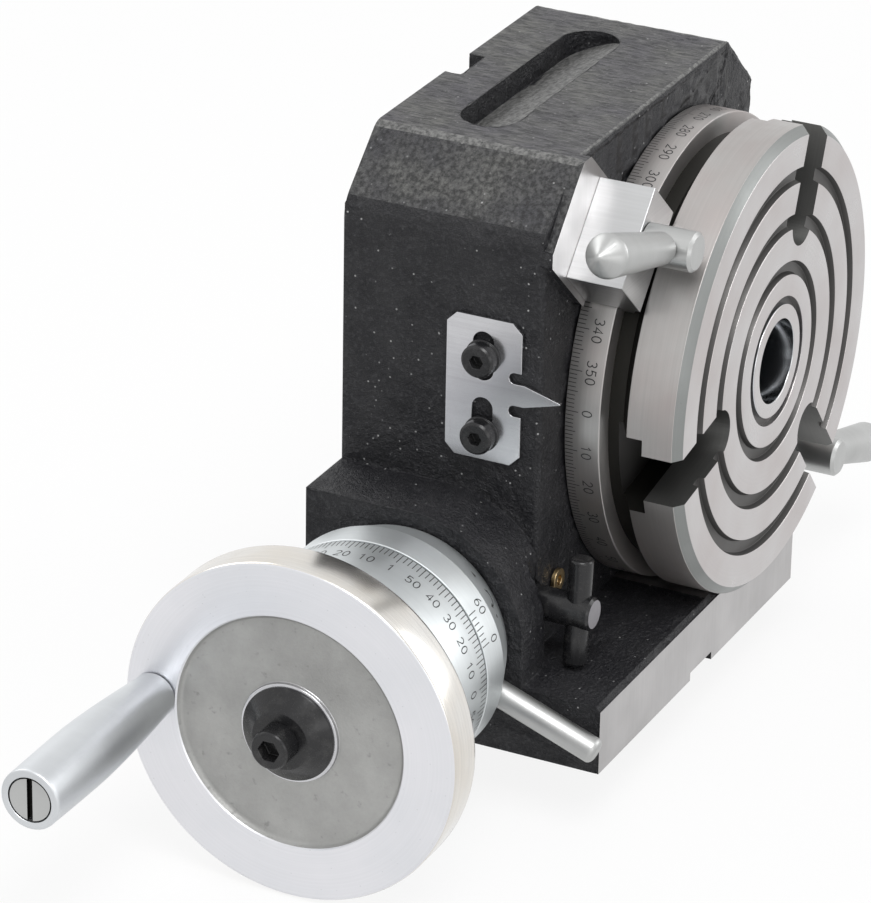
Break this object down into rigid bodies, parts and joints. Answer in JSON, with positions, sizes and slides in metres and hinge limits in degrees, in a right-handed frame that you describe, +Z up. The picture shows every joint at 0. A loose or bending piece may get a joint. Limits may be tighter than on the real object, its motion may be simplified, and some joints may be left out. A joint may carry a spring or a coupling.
{
  "type": "rotary table",
  "caption": "Upright worm-driven rotary table with tee-slotted faceplate, graduated ring, handwheel with dial, worm release lever and clamps.",
  "frame": {"origin": "on the base plane, straight below the crossing of the table axis and the worm plane", "axes": "+Z up, -Y out of the faceplate, -X towards the handwheel"},
  "size_m": [0.2806, 0.0917, 0.1451],
  "materials": {
    "black_casting": "rough black paint on cast iron",
    "ground_steel": "ground",
    "satin_steel": "satin",
    "bright_plated": "bright",
    "satin_chrome": "satin",
    "polished_iron": "polished rim, grey cast dish",
    "black_oxide": "black oxide",
    "brass": "satin",
    "bronze": "satin",
    "machine_steel": "turned",
    "painted_cover": "black paint"
  },
  "bodies": {
    "base": {"base_casting": "black_casting", "spindle_bush": "bronze", "rear_cover": "painted_cover", "cover_screws": "black_oxide", "index_plate": "bright_plated", "index_screws": "black_oxide", "oil_nipple": "brass", "clamp_block_near": "satin_steel", "clamp_block_far": "satin_steel", "lock_pad": "brass"},
    "table": {"faceplate": "ground_steel", "graduated_ring": "satin_steel", "ring_screws": "black_oxide", "centre_sleeve": "satin_steel", "worm_wheel": "bronze", "wheel_key": "machine_steel", "thrust_washer": "bronze", "lock_nut": "machine_steel"},
    "worm_sleeve": {"eccentric_sleeve": "machine_steel", "vernier_collar": "satin_chrome", "collar_screws": "black_oxide", "engage_lever": "satin_chrome", "worm_bush_front": "bronze", "worm_bush_rear": "bronze"},
    "worm": {"worm_shaft": "machine_steel", "worm_washer": "machine_steel", "adjust_nut": "machine_steel", "graduated_dial": "satin_chrome", "dial_screw": "black_oxide", "handwheel": "polished_iron", "handwheel_key": "machine_steel", "hub_washer": "black_oxide", "cap_screw": "black_oxide", "handle_screw": "satin_chrome"},
    "crank_handle": {"handle": "satin_chrome"},
    "near_clamp_lever": {"clamp_screw_near": "satin_steel", "clamp_handle_near": "satin_steel"},
    "far_clamp_lever": {"clamp_screw_far": "satin_steel", "clamp_handle_far": "satin_steel"},
    "sleeve_lock": {"lock_screw": "black_oxide", "lock_bar": "black_oxide"}
  },
  "joints": [
    {"name": "table_spin", "type": "hinge", "parent": "base", "child": "table", "pos_m": [0, 0, 0.068], "axis": [0, 1, 0], "continuous": true},
    {"name": "worm_release", "type": "hinge", "parent": "base", "child": "worm_sleeve", "pos_m": [-0.05, -0.0035, 0.0255], "axis": [-1, 0, 0], "range_deg": [0, 45]},
    {"name": "worm_spin", "type": "hinge", "parent": "worm_sleeve", "child": "worm", "pos_m": [-0.06, 0, 0.0255], "axis": [1, 0, 0], "continuous": true},
    {"name": "handle_spin", "type": "hinge", "parent": "worm", "child": "crank_handle", "pos_m": [-0.17, 0.0327, 0.0271], "axis": [1, 0, 0], "continuous": true},
    {"name": "near_clamp_turn", "type": "hinge", "parent": "base", "child": "near_clamp_lever", "pos_m": [-0.04667, -0.041, 0.11239], "axis": [0, 1, 0], "range_deg": [-45, 70]},
    {"name": "far_clamp_turn", "type": "hinge", "parent": "base", "child": "far_clamp_lever", "pos_m": [0.04667, -0.041, 0.02361], "axis": [0, 1, 0], "range_deg": [-75, 5]},
    {"name": "sleeve_lock_turn", "type": "hinge", "parent": "base", "child": "sleeve_lock", "pos_m": [-0.068, -0.03, 0.0302], "axis": [0, 1, 0], "range_deg": [-60, 60]}
  ],
  "couplings": [
    {"joint": "worm_spin", "follows": "table_spin", "ratio": 72}
  ]
}
